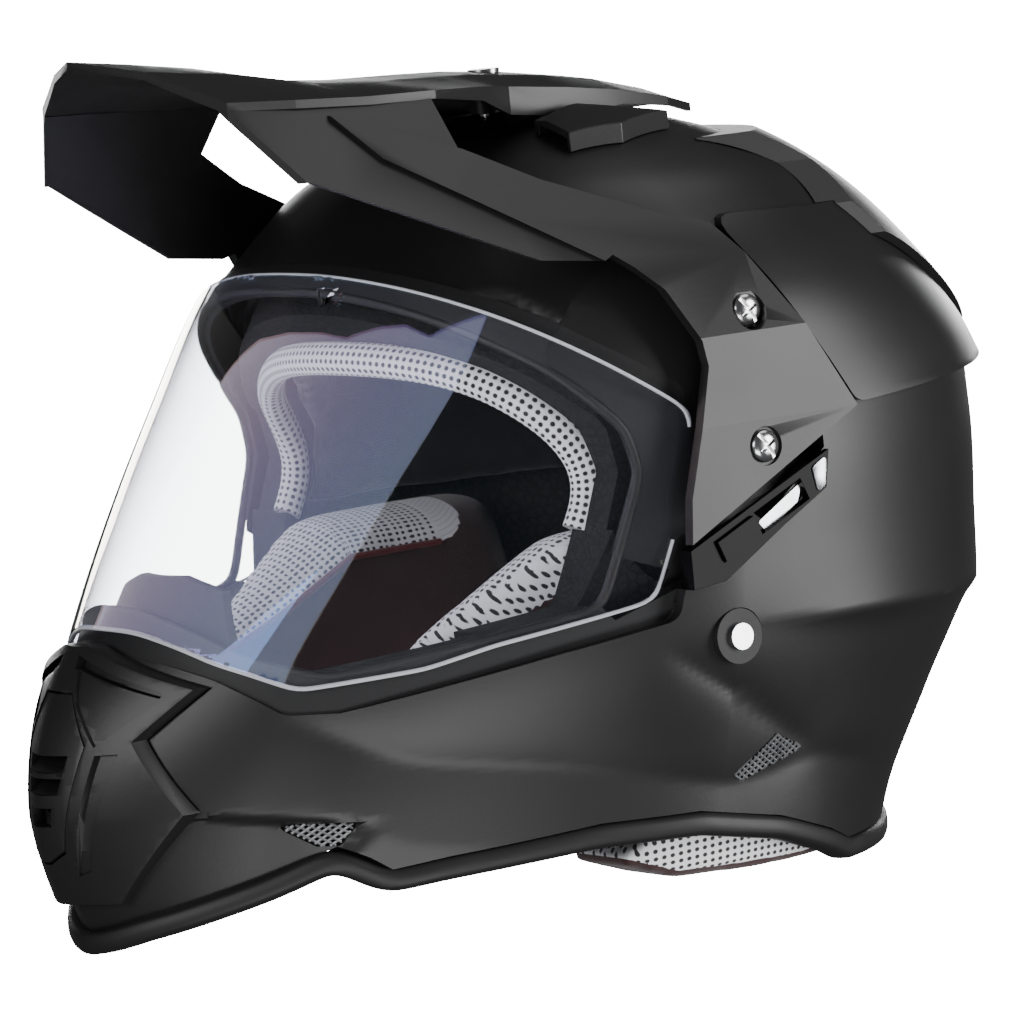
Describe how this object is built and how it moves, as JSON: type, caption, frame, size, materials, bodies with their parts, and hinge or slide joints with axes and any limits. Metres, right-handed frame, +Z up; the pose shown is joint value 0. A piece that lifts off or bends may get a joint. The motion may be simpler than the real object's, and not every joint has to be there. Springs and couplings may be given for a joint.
{
  "type": "dual sport helmet",
  "caption": "Full face helmet with a clear hinged shield, a bolted peak, a drop-down sun visor with a side slider, chin and crown vents, padded lining and a buckled strap.",
  "frame": {"origin": "on the ground under the middle of the helmet as it stands on its lower rim", "axes": "+X to the wearer's left, +Y to the back of the head, +Z up"},
  "size_m": [0.2572, 0.3491, 0.281],
  "materials": {
    "matte_shell": "matte black lacquer over moulded ABS",
    "black_plastic": "moulded black nylon",
    "gloss_black": "polished black ABS",
    "rim_rubber": "soft black rubber edging",
    "clear_shield": "clear hard coated polycarbonate",
    "tinted_visor": "smoke tinted polycarbonate",
    "bright_screw": "polished aluminium",
    "steel_pin": "bright steel",
    "silver_mesh": "silver painted mesh",
    "liner_foam": "black moulded polystyrene foam",
    "dark_fabric": "brushed black lining cloth",
    "white_mesh": "white spacer mesh over foam",
    "black_webbing": "woven black polyester webbing",
    "red_plastic": "moulded red nylon"
  },
  "bodies": {
    "helmet": {"base_trim": "rim_rubber", "breath_guard": "rim_rubber", "brow_band": "white_mesh", "buckle_body": "black_plastic", "buckle_pin": "steel_pin", "buckle_tongue": "black_plastic", "cheek_pad_left": "white_mesh", "cheek_pad_right": "white_mesh", "chin_liner": "liner_foam", "chin_vent_louvre": "black_plastic", "chin_vent_surround": "matte_shell", "crown_pad": "dark_fabric", "crown_vent_left": "matte_shell", "crown_vent_right": "matte_shell", "eyeport_frame": "black_plastic", "front_mesh_left": "silver_mesh", "front_mesh_right": "silver_mesh", "neck_roll": "white_mesh", "outer_shell": "matte_shell", "peak": "matte_shell", "peak_screws_lower": "bright_screw", "peak_screws_upper": "bright_screw", "peak_top_screw": "black_plastic", "pivot_base_left": "black_plastic", "pivot_base_right": "black_plastic", "rear_mesh_left": "silver_mesh", "rear_mesh_right": "silver_mesh", "rear_spoiler": "matte_shell", "rivet_washers": "black_plastic", "shell_liner": "liner_foam", "shield_washers": "black_plastic", "slider_housing": "gloss_black", "strap_left": "black_webbing", "strap_right": "black_webbing", "strap_rivets": "bright_screw", "sun_visor_pivots": "black_plastic"},
    "face_shield": {"face_shield": "clear_shield", "shield_tab": "clear_shield"},
    "sun_visor": {"sun_visor": "tinted_visor"},
    "sun_visor_slider": {"sun_visor_slider": "gloss_black"},
    "chin_vent_shutter": {"chin_vent_shutter": "black_plastic"},
    "buckle_lever": {"buckle_lever": "red_plastic"}
  },
  "joints": [
    {"name": "face_shield_hinge", "type": "hinge", "parent": "helmet", "child": "face_shield", "pos_m": [0, 0.0255, 0.1417], "axis": [-1, 0, 0], "range_deg": [0, 42]},
    {"name": "sun_visor_hinge", "type": "hinge", "parent": "helmet", "child": "sun_visor", "pos_m": [0, 0.0255, 0.1417], "axis": [1, 0, 0], "range_deg": [0, 46]},
    {"name": "sun_visor_slide", "type": "slide", "parent": "helmet", "child": "sun_visor_slider", "axis": [0, 0.9169, 0.3991], "range_m": [0, 0.022]},
    {"name": "chin_vent_slide", "type": "slide", "parent": "helmet", "child": "chin_vent_shutter", "axis": [0, 0, 1], "range_m": [0, 0.003]},
    {"name": "buckle_lever_hinge", "type": "hinge", "parent": "helmet", "child": "buckle_lever", "pos_m": [-0.005, 0.0132, 0.01796], "axis": [0, 1, 0], "range_deg": [0, 28], "stiffness_Nm_per_rad": 0.02}
  ],
  "couplings": [
    {"joint": "sun_visor_slide", "follows": "sun_visor_hinge", "m_per_rad": 0.0274}
  ]
}
